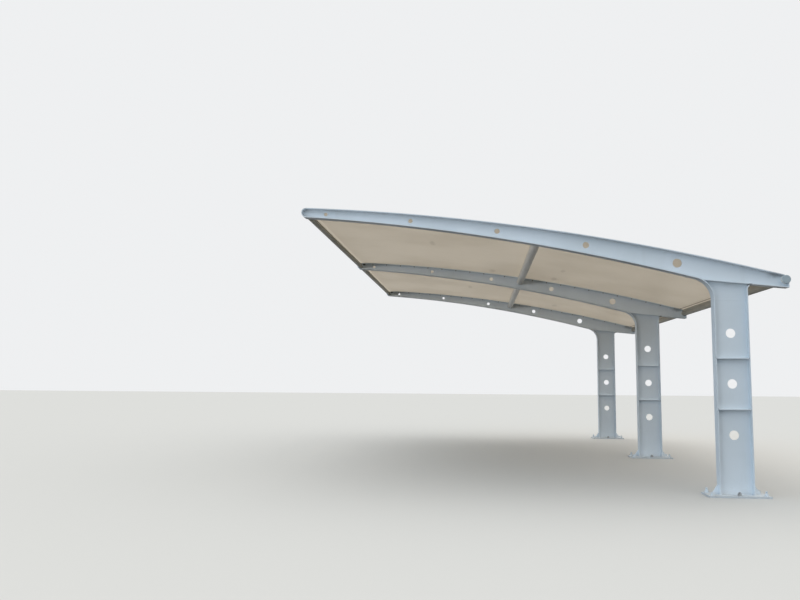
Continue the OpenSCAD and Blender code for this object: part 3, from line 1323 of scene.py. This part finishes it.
    def _sleeve(self, end: SheetEnd, leave: Point, meet: Point, onward: Point) -> list[Point]:
        """The way of the cloth round a tube.

        Args:
            end: The end that goes round the tube.
            leave: Where the roof ends over the tube.
            meet: Where the cloth comes back to the roof's underside.
            onward: Where the welded lap ends.

        Returns:
            The points from leave to onward.
        """
        radius = end.tube_r + self.clear

        def touch(point: Point, way: int) -> float:
            """Angle at which a straight run from a point touches the tube."""
            dx, dz = point[0] - end.tube[0], point[1] - end.tube[1]
            return atan2(dz, dx) + way * acos(min(1.0, radius / hypot(dx, dz)))

        first, last = touch(leave, end.turn), touch(meet, -end.turn)
        while (last - first) * end.turn < pi:
            last += end.turn * 2 * pi
        while (last - first) * end.turn > 2 * pi:
            last -= end.turn * 2 * pi
        run_in, round_tube, run_out, run_on = self.STEPS
        wrap = [step_from(end.tube, (cos(a), sin(a)), radius)
                for a in np.linspace(first, last, round_tube)]
        return (between(leave, wrap[0], run_in)[:-1] + wrap
                + between(wrap[-1], meet, run_out)[1:] + between(meet, onward, run_on)[1:])

    def _lengths(self, column: Sequence[Point]) -> np.ndarray:
        """Measures a column.

        Args:
            column: Its points.

        Returns:
            Distances along it, from the roof's first point.
        """
        steps = [hypot(b[0] - a[0], b[1] - a[1]) for a, b in zip(column, column[1:])]
        lengths = np.cumsum([0.0] + steps)
        return lengths - lengths[self.wrap]

    def _grid(self, across: Sequence[float], shape: Sequence[Sequence[Point]],
              lengths: np.ndarray) -> Piece:
        """Shapes a grid into the sheet and slits its corners.

        Args:
            across: The columns' places.
            shape: The columns' points.
            lengths: The rows' distances along the cloth.

        Returns:
            The piece with the sheet.
        """
        piece = Piece(f"{self.bay.label}_membrane_cloth")
        bm = piece.bm
        uv = bm.loops.layers.uv.new(self.MAP)
        hems = bm.verts.layers.deform.verify()
        u, v = len(lengths) - 1, len(across) - 1
        y0 = self.bay.value[0].value
        where = {}
        for vert in bmesh.ops.create_grid(bm, x_segments=u, y_segments=v, size=0.5)["verts"]:
            i, j = round((vert.co.x + 0.5) * u), round((vert.co.y + 0.5) * v)
            where[vert] = (i, j)
            vert.co = (shape[j][i][0], y0 + across[j], shape[j][i][1])
            vert[hems][0] = float(self._from_frame(across[j]) < self.hem_w + TINY)
        doomed = []
        for face in bm.faces:
            spots = [where[loop.vert] for loop in face.loops]
            for loop, (i, j) in zip(face.loops, spots):
                loop[uv].uv = (across[j], float(lengths[i]))
            if self._is_cut(spots, across):
                doomed.append(face)
        bmesh.ops.delete(bm, geom=doomed, context="FACES")
        return piece

    def _is_cut(self, spots: Sequence[tuple[int, int]], across: Sequence[float]) -> bool:
        """Finds the faces that are cut away between or past the turned-down hems.

        Args:
            spots: Row and column of each of the face's corners.
            across: The columns' places.

        Returns:
            True for a face that goes.
        """
        roof_end = self.wrap + len(self.stations) - 1
        beyond = max(max(self.wrap - i, i - roof_end) for i, _ in spots)
        away = max(self._from_frame(across[j]) for _, j in spots)
        if beyond <= 0 or away > self.half_flange + self.slit + TINY:
            return False
        return away > self.half_flange + TINY or beyond > self.tab_steps


# Steel frames


@dataclass(frozen=True)
class BoltRun:
    """A run of evenly spaced clamp bolts, measured along the beam from its nose."""

    start: float
    pitch: float
    count: int

    def places(self) -> list[float]:
        """Distances from the nose."""
        return [self.start + i * self.pitch for i in range(self.count)]


@dataclass(frozen=True)
class AnchorGroup:
    """The anchor bolts of one kind in a base plate, by their places along X."""

    label: str
    xs: tuple[float, ...]
    heights: tuple[float, float]
    material: bpy.types.Material


@dataclass
class SteelFrame:
    """One cantilever: its paint, welds, clamp bolts and anchor bolts."""

    row: Row
    paints: dict[Slot, bpy.types.Material]
    zinc: bpy.types.Material
    bare: bpy.types.Material
    base_t: float = 0.020
    strip_offset: float = 0.033
    strip_play: float = 0.0015
    runs: tuple[BoltRun, ...] = (BoltRun(0.204, 0.2357, 9), BoltRun(2.435, 0.2335, 13))
    bolt_clear: float = 0.016
    anchor_x: float = 0.275
    anchor_y: float = 0.115
    anchor_play: float = 0.002
    stiffener_z: tuple[float, ...] = (0.920, 1.470)
    stiffener_t: float = 0.008
    snipe: float = 0.020
    gusset: Point = (0.070, 0.100)
    gusset_t: float = 0.010
    fillet: Point = (0.0055, 0.0055)
    small: Point = (0.0045, 0.0045)
    cap: Point = (0.0085, 0.0013)
    stop: float = 0.001
    cap_stop: float = 0.006
    cap_from: float = 0.010
    top_stop: float = 0.04
    splice_past: float = 0.07
    pitch: float = 0.006
    straight_pitch: float = 0.015
    curve_pitch: float = 0.018
    bend_pitch: float = 0.012

    def build(self) -> None:
        """Paints the CAD nodes and adds welds and bolts."""
        self._paint()
        self._long_welds()
        joints = Piece(f"{self.row.label}_joint_welds")
        self._base_welds(joints)
        self._stiffener_welds(joints)
        self._splice(joints)
        self._tube_welds(joints)
        joints.finish(self.paints[Slot.COLUMN], Slot.COLUMN)
        self._clamp_bolts()
        self._anchor_bolts()

    @property
    def sides(self) -> tuple[int, ...]:
        """The sides of the web on which there is a bay."""
        return {Row.NEAR: (1,), Row.MIDDLE: (-1, 1), Row.FAR: (-1,)}[self.row]

    @property
    def web(self) -> float:
        """Distance from the frame's middle plane to the web's face."""
        return LINE.web_t / 2

    @property
    def column_in(self) -> float:
        """Distance from the column's axis to the inner face of its flanges."""
        return LINE.column_d / 2 - LINE.column_t

    def _paint(self) -> None:
        """Gives the frame's CAD nodes their finishes."""
        for part in frame["record"]["subparts"]:
            name, slot = part["node"], Slot(part["material_slot"])
            if name.startswith(self.row.label + "_") and slot in self.paints:
                dress(name, self.paints[slot])

    def _path(self, points: Sequence[Point], side: float) -> list[Vector]:
        """Stands an outline's points in a plane beside the frame's middle plane."""
        return [Vector((x, self.row.value + side, z)) for x, z in points]

    def _run(self, start: Point, end: Point, side: float, pitch: float | None = None
             ) -> list[Vector]:
        """A straight path in a plane beside the frame's middle plane.

        Args:
            start: Its first point.
            end: Its last point.
            side: Distance of the plane.
            pitch: Distance of its points, where it isn't the usual one.

        Returns:
            The path.
        """
        length = hypot(end[0] - start[0], end[1] - start[1])
        steps = max(2, round(length / (pitch or self.pitch)))
        return self._path(between(start, end, steps), side)

    def _level(self, corners: Sequence[Point], z: float) -> list[Vector]:
        """A level path.

        Args:
            corners: Its corners, as x and distance from the frame's middle plane.
            z: Its height.

        Returns:
            The path.
        """
        points: list[Point] = []
        for a, b in zip(corners, corners[1:]):
            steps = max(2, round(hypot(b[0] - a[0], b[1] - a[1]) / self.pitch))
            points += between(a, b, steps)[:-1]
        return [Vector((x, self.row.value + y, z)) for x, y in [*points, corners[-1]]]

    def _long_welds(self) -> None:
        """Lays the fillets that join the web to the flanges of beam and column."""
        piece = Piece(f"{self.row.label}_long_welds")
        top = arc(LINE.top_c, LINE.upper_r - LINE.flange_t,
                  90 - LINE.tilt(LINE.length - self.top_stop), 90 - LINE.top_tilt,
                  self.curve_pitch)
        nose = arc(LINE.nose, LINE.nose_r - LINE.flange_t, 90 - LINE.top_tilt,
                   270 - LINE.bottom_tilt, self.bend_pitch)
        low = arc(LINE.bottom_c, LINE.lower_r + LINE.flange_t, 90 - LINE.bottom_tilt,
                  90 - LINE.knee_tilt, self.curve_pitch)
        knee = arc(LINE.knee_c, LINE.knee_r + LINE.flange_t, 90 - LINE.knee_tilt, 0.0,
                   self.bend_pitch)
        x = self.column_in
        heel_end = LINE.back_x + LINE.heel_past - LINE.lip_t
        heel = [(hx, LINE.heel_top(hx))
                for hx in np.arange(LINE.heel_from[0], heel_end, self.bend_pitch)]
        for side in (-1, 1):
            edge = side * self.web
            front = self._path(top + nose[1:] + low[1:] + knee[1:], edge)
            front += self._run(knee[-1], (-x, self.base_t), edge, self.straight_pitch)[1:]
            back = self._run((x, self.base_t), (x, LINE.splice_z + self.splice_past), edge,
                             self.straight_pitch)
            for path in (front, back, self._path(heel, edge)):
                piece.bead(path, Vector((0, side, 0)), self.fillet, ripple=0.07)
        piece.finish(self.paints[Slot.BEAM], Slot.BEAM)

    def _base_welds(self, piece: Piece) -> None:
        """Welds column and gussets to the base plate and gussets to the column.

        Args:
            piece: The piece that the welds grow on.
        """
        z, up = self.base_t, Vector((0, 0, 1))
        half, inner, flange = LINE.column_d / 2, self.column_in, LINE.flange_w / 2
        for side in (-1, 1):
            for y in (-1, 1):
                gusset = y * self.gusset_t / 2
                outer = [(side * half, gusset), (side * half, y * flange),
                         (side * inner, y * flange), (side * inner, y * self.web)]
                foot = [(side * half, gusset), (side * (half + self.gusset[0]), gusset)]
                rise = self._run((side * half, z), (side * half, z + self.gusset[1]), gusset)
                piece.bead(self._level(outer, z), up, self.fillet)
                piece.bead(self._level(foot, z), up, self.fillet)
                piece.bead(rise, Vector((0, y, 0)), self.fillet)
        for y in (-self.web, self.web):
            piece.bead(self._level([(-inner, y), (inner, y)], z), up, self.fillet)

    def _stiffener_welds(self, piece: Piece) -> None:
        """Welds each stiffener to the web and to both flanges, above and below.

        Args:
            piece: The piece that the welds grow on.
        """
        inner, web_end = self.column_in, self.column_in - self.snipe
        for middle in self.stiffener_z:
            for z in (middle - self.stiffener_t / 2, middle + self.stiffener_t / 2):
                for y in (-1, 1):
                    lines = [[(-web_end, y * self.web), (web_end, y * self.web)]]
                    lines += [[(side * inner, y * (self.web + self.snipe)),
                               (side * inner, y * LINE.flange_w / 2)] for side in (-1, 1)]
                    for line in lines:
                        piece.bead(self._level(line, z), Vector((0, 0, 1)), self.small)

    def _splice(self, piece: Piece) -> None:
        """Lays the wide caps of the butt joint between column and knee.

        Args:
            piece: The piece that the welds grow on.
        """
        z, half, inner = LINE.splice_z, LINE.column_d / 2, self.column_in
        web_end, edge = inner - self.cap_stop, LINE.flange_w / 2 - self.stop
        for side in (-1, 1):
            web = self._run((-web_end, z), (web_end, z), side * self.web)
            piece.bead(web, Vector((0, side, 0)), self.cap, ripple=0.06)
            spans = [([(side * half, -edge), (side * half, edge)], side)]
            spans += [([(side * inner, y * self.cap_from), (side * inner, y * edge)], -side)
                      for y in (-1, 1)]
            for span, out in spans:
                piece.bead(self._level(span, z), Vector((out, 0, 0)), self.cap, ripple=0.06)

    def _tube_welds(self, piece: Piece) -> None:
        """Welds the tubes where they meet the web, the flange's end and the lip.

        Args:
            piece: The piece that the welds grow on.
        """
        for side in self.sides:
            for axis, radius in ((LINE.front_tube, LINE.front_r),
                                 (LINE.middle_tube, LINE.middle_r)):
                ring = arc(axis, radius, 0.0, 360.0, self.pitch)[:-1]
                piece.bead(self._path(ring, side * self.web), Vector((0, side, 0)), self.small,
                           closed=True)
        lip_x = LINE.back_x + LINE.heel_past - LINE.lip_t / 2
        lip_z = LINE.back_tube[1] - (LINE.back_r ** 2 - (lip_x - LINE.back_x) ** 2) ** 0.5
        flange_end = radians(90 - LINE.back_tilt) + acos(1 - LINE.flange_t / LINE.back_r)
        top_end = step_from(LINE.back_tube, (cos(flange_end), sin(flange_end)), LINE.back_r)
        half = LINE.flange_w / 2 - self.stop
        for x, z in ((lip_x - LINE.lip_t / 2, lip_z), (lip_x + LINE.lip_t / 2, lip_z), top_end):
            piece.bead(self._level([(x, -half), (x, half)], z), Vector((0, 0, 1)), self.small)
        lip_turn = degrees(asin((lip_z - LINE.back_tube[1]) / LINE.back_r))
        ring = arc(LINE.back_tube, LINE.back_r, degrees(flange_end), 360 + lip_turn, self.pitch)
        for side in (-1, 1):
            piece.bead(self._path(ring, side * self.web), Vector((0, side, 0)), self.small)

    def _clamp_bolts(self) -> None:
        """Bolts the clamp strips down through the membrane and the flange."""
        rng = random.Random(f"bolts {self.row.label}")
        places = []
        for side in self.sides:
            for s in (s for run in self.runs for s in run.places()):
                x, z = LINE.top(s)
                if abs(x - LINE.middle_tube[0]) < LINE.middle_r + self.bolt_clear:
                    continue
                y = self.row.value + side * self.strip_offset
                y += rng.uniform(-self.strip_play, self.strip_play)
                places.append(Matrix.Translation((x, y, z))
                              @ Matrix.Rotation(radians(LINE.tilt(s)), 4, "Y")
                              @ Matrix.Rotation(rng.uniform(0, pi / 3), 4, "Z"))
        piece = Piece(f"{self.row.label}_clamp_bolts")
        piece.stamp(ClampBolt().mesh(), places)
        piece.finish(self.zinc, Slot.CLAMP, sharp=30.0)

    def _anchor_bolts(self) -> None:
        """Sets the anchor bolts: painted ones at the corners, bare ones beside the web."""
        rng = random.Random(f"anchors {self.row.label}")
        for group in (AnchorGroup("corner", (-self.anchor_x, self.anchor_x), (0.010, 0.027),
                                  self.paints[Slot.BASE]),
                      AnchorGroup("web", (0.0,), (0.008, 0.012), self.bare)):
            piece = Piece(f"{self.row.label}_{group.label}_anchors")
            for x in group.xs:
                for y in (-self.anchor_y, self.anchor_y):
                    stands = group.heights[0 if y * (x or 1) > 0 else 1]
                    stands += rng.uniform(-self.anchor_play, self.anchor_play)
                    place = Matrix.Translation((x, self.row.value + y, self.base_t))
                    turn = Matrix.Rotation(rng.uniform(0, pi / 3), 4, "Z")
                    piece.stamp(AnchorBolt(stands).mesh(), [place @ turn])
            piece.finish(group.material, Slot.BASE, sharp=30.0)


@dataclass
class TubeRun:
    """The three tubes of one bay and the cap on the open end of its back tube."""

    bay: Bay
    paint: bpy.types.Material
    cap_paint: bpy.types.Material
    seam: Point = (0.003, 0.003)
    seam_in: float = 0.0012
    seam_pitch: float = 0.006

    def build(self) -> None:
        """Paints the tubes and welds the cap's seam."""
        for part in ("front_tube", "middle_tube", "back_tube"):
            dress(f"{self.bay.label}_{part}", self.paint)
        # The cap takes the white enamel drawn darker: painted shade at the beam's back end.
        dress(f"{self.bay.label}_tube_cap", self.cap_paint)
        row, sign = (Row.NEAR, -1) if self.bay is Bay.NEAR else (Row.FAR, 1)
        y = row.value + sign * LINE.flange_w / 2
        ring = arc(LINE.back_tube, LINE.back_r - self.seam_in, 0.0, 360.0, self.seam_pitch)[:-1]
        piece = Piece(f"{self.bay.label}_cap_weld")
        piece.bead([Vector((x, y, z)) for x, z in ring], Vector((0, 1, 0)), self.seam,
                   closed=True)
        piece.finish(self.cap_paint, Slot.TUBE)


# Studio


@dataclass(frozen=True)
class Studio:
    """A pale floor, soft light and the photograph's point of view.

    The sky gives bluish light from the front and even light from above. A pair named after
    a turn or a rise holds the two ends of a soft change between two of its colours.
    """

    eye: Place = (-2.7337, -13.2615, 1.2114)
    yaw: float = 5.7115
    pitch: float = 5.782
    roll: float = 0.373
    lens: float = 35.66
    sensor: float = 36.0
    sight: float = 300.0
    floor_half: float = 60.0
    floor_shown: Colour = (0.62, 0.62, 0.61)
    floor_cast: Colour = (0.07, 0.07, 0.07)
    floor_roughness: float = 0.9
    backdrop: Colour = (0.86, 0.87, 0.88)
    front: Place = (-0.8, -0.6, 0.0)
    low_near: Colour = (0.79, 0.92, 1.01)
    low_round: Colour = (0.15, 0.16, 0.16)
    low_turn: Point = (-0.2, 0.6)
    high_near: Colour = (0.60, 0.86, 1.12)
    high_round: Colour = (1.14, 1.11, 1.05)
    high_turn: Point = (0.3, 0.9)
    sky_rise: Point = (0.02, 0.35)
    sun: float = 0.5
    sun_angle: float = 50.0
    sun_colour: Colour = (1.0, 0.98, 0.95)
    sun_from: Place = (-0.25, 0.45, 1.0)
    fill: float = 110.0
    fill_size: Point = (14.0, 1.8)
    fill_spread: float = 70.0
    fill_at: Place = (-16.0, -17.0, 1.5)
    fill_turn: float = -42.0

    def build(self) -> None:
        """Makes floor, lights and camera."""
        self._floor()
        self._sky()
        self._lamps()
        self._camera()
        bpy.context.scene.view_settings.view_transform = "Standard"

    @staticmethod
    def _shown(graph: Graph) -> Socket:
        """Tells the rays that show a surface from those that carry light to the canopy.

        Args:
            graph: The material's nodes.

        Returns:
            1 for the rays that show it.
        """
        path = graph.node("LightPath").outputs
        seen = graph.math("MAXIMUM", path["Is Camera Ray"], path["Is Glossy Ray"])
        return graph.math("MAXIMUM", seen, path["Is Transmission Ray"])

    def _floor(self) -> None:
        """Lays the floor at the underside of the base plates."""
        mesh = pattern("floor", lambda bm: bmesh.ops.create_grid(
            bm, x_segments=1, y_segments=1, size=self.floor_half))
        material, graph, shader = new_material("pale_floor")
        shade = graph.tint(self._shown(graph), rgba(self.floor_cast), rgba(self.floor_shown))
        graph.feed(shader.inputs["Base Color"], shade)
        shader.inputs["Roughness"].default_value = self.floor_roughness
        shader.inputs["Specular IOR Level"].default_value = 0.0
        mesh.materials.append(material)
        link("floor", mesh)

    def _sky(self) -> None:
        """Sets the sky that lights the canopy, and the backdrop that the camera sees."""
        world = bpy.data.worlds.new("studio")
        bpy.context.scene.world = world
        world.use_nodes = True
        graph = Graph(world.node_tree)
        way = graph.node("TexCoord").outputs["Generated"]
        facing = graph.node("VectorMath", {0: way, 1: self.front},
                            operation="DOT_PRODUCT").outputs["Value"]
        low = graph.tint(graph.ease(facing, *self.low_turn), rgba(self.low_round),
                         rgba(self.low_near))
        high = graph.tint(graph.ease(facing, *self.high_turn), rgba(self.high_round),
                          rgba(self.high_near))
        height = graph.node("SeparateXYZ", {0: way}).outputs[2]
        sky = world.node_tree.nodes["Background"]
        graph.feed(sky.inputs["Color"], graph.tint(graph.ease(height, *self.sky_rise), low, high))
        seen = graph.node("Background", {"Color": rgba(self.backdrop)})
        blend = graph.node("MixShader", {0: self._shown(graph), 1: sky.outputs[0],
                                         2: seen.outputs[0]})
        graph.feed(world.node_tree.nodes["World Output"].inputs["Surface"], blend.outputs[0])

    def _lamps(self) -> None:
        """Sets one broad sun above the canopy and a low fill in front of it."""
        lamp = bpy.data.lights.new("sun", "SUN")
        lamp.energy = self.sun
        lamp.angle = radians(self.sun_angle)
        lamp.color = self.sun_colour
        sun = link("sun", lamp)
        sun.rotation_euler = Vector(self.sun_from).to_track_quat("Z", "Y").to_euler()
        panel = bpy.data.lights.new("fill", "AREA")
        panel.shape = "RECTANGLE"
        panel.size, panel.size_y = self.fill_size
        panel.energy = self.fill
        panel.spread = radians(self.fill_spread)
        fill = link("fill", panel)
        fill.matrix_world = (Matrix.Translation(self.fill_at)
                             @ Matrix.Rotation(radians(self.fill_turn), 4, "Z")
                             @ Matrix.Rotation(pi / 2, 4, "X"))
        fill.visible_camera = False
        fill.visible_glossy = False

    def _camera(self) -> None:
        """Stands the camera where the photograph was taken."""
        yaw, pitch, roll = (radians(a) for a in (self.yaw, self.pitch, self.roll))
        ahead = Vector((-sin(yaw) * cos(pitch), cos(yaw) * cos(pitch), sin(pitch)))
        flat = Vector((cos(yaw), sin(yaw), 0.0))
        right = flat * cos(roll) + flat.cross(ahead) * sin(roll)
        turn = Matrix((right, right.cross(ahead), -ahead)).transposed()
        data = bpy.data.cameras.new("camera")
        data.sensor_width = self.sensor
        data.lens = self.lens
        data.clip_end = self.sight
        camera = link("camera", data)
        camera.matrix_world = Matrix.Translation(self.eye) @ turn.to_4x4()
        bpy.context.scene.camera = camera


# Painted shade in the hollow behind the front tube, under the top flange at each nose.
NOSE_SHADE = tuple(Smudge((LINE.front_tube[0] + 0.052, y, LINE.front_tube[1] + 0.040), 0.050)
                  for y in (-BAY + 0.006, -0.006, 0.006, BAY - 0.006))
# Painted shade round the cope hole under the heel plate.
COPE_SHADE = tuple(Smudge((0.212, row.value, 2.262), 0.034, weight=(1.0, 0.15, 1.0))
                  for row in Row)
# Painted shade on the web under the top flange at the beam's back end.
HEEL_SHADE = tuple(Smudge((0.51, row.value, 2.40), 0.11, weight=(0.7, 0.5, 1.6), strength=0.4)
                   for row in Row)


def main() -> None:
    """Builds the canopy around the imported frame."""
    logging.basicConfig(level=logging.INFO, format="%(name)s: %(message)s")
    Studio().build()
    paints = {
        Slot.BASE: Paint("base_enamel", splash=0.25, splash_height=0.10, dust=0.25).material(),
        Slot.COLUMN: Paint("column_enamel", splash=0.25, splash_height=0.12,
                           smudges=COPE_SHADE).material(),
        Slot.BEAM: Paint("beam_enamel", wave=0.0008,
                         smudges=NOSE_SHADE + COPE_SHADE + HEEL_SHADE).material(),
        Slot.CLAMP: BareMetal("drawn_flat_bar", (0.70, 0.71, 0.72), 0.36,
                              grain=(6.0, 420.0, 420.0)).material(),
    }
    tube_paint = Paint("tube_enamel", colour=(0.84, 0.82, 0.77), wave=0.0, roughness=0.35,
                       shine=0.1).material()
    # The beams' white enamel drawn darker: painted shade on the tube cap at the back end.
    cap_paint = Paint("cap_enamel", colour=(0.42, 0.49, 0.53), wave=0.0).material()
    zinc = BareMetal("zinc_plate", (0.52, 0.52, 0.50), 0.40, rust=0.15).material()
    bare = BareMetal("weathered_steel", (0.46, 0.48, 0.49), 0.55, metallic=0.4,
                     rust=0.2).material()
    for row in Row:
        SteelFrame(row, paints, zinc, bare).build()
    for bay in Bay:
        TubeRun(bay, tube_paint, cap_paint).build()
        MembranePanel(bay).build()


if __name__ == "__main__":
    main()
